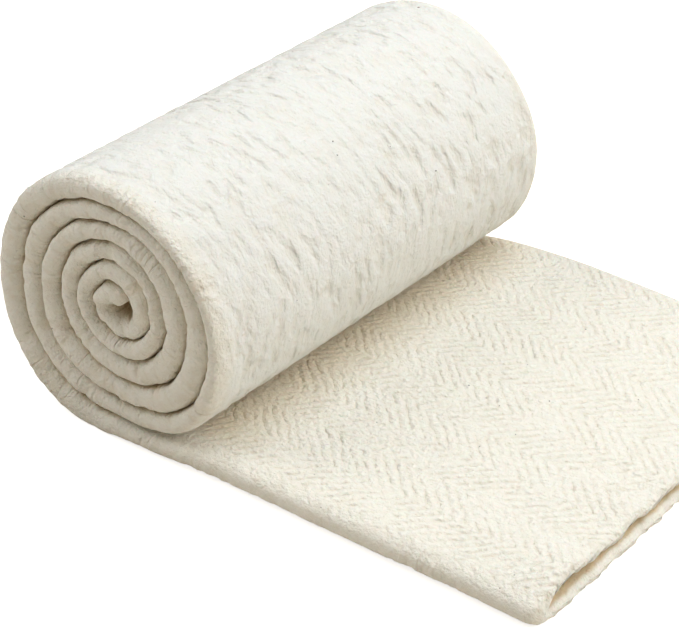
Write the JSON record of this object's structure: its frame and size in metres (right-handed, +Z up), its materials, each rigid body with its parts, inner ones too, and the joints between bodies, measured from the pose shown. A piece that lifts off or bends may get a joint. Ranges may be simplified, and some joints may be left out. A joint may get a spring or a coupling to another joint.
{
  "type": "roll of cotton batting",
  "caption": "Length of thick cotton batting, folded in half along its length and wound into a roll, with its loose end lying flat in front.",
  "frame": {"origin": "on the surface that the roll lies on, under the eye of the winding and half way along the roll", "axes": "+X along the loose end towards its cut, +Y along the roll from the folded edge towards the two open edges, +Z up"},
  "size_m": [0.2765, 0.2374, 0.1212],
  "materials": {
    "batting": "felted natural cotton, matt and softly fibrous"
  },
  "bodies": {
    "root": {"folded_batting": "batting"}
  },
  "joints": []
}
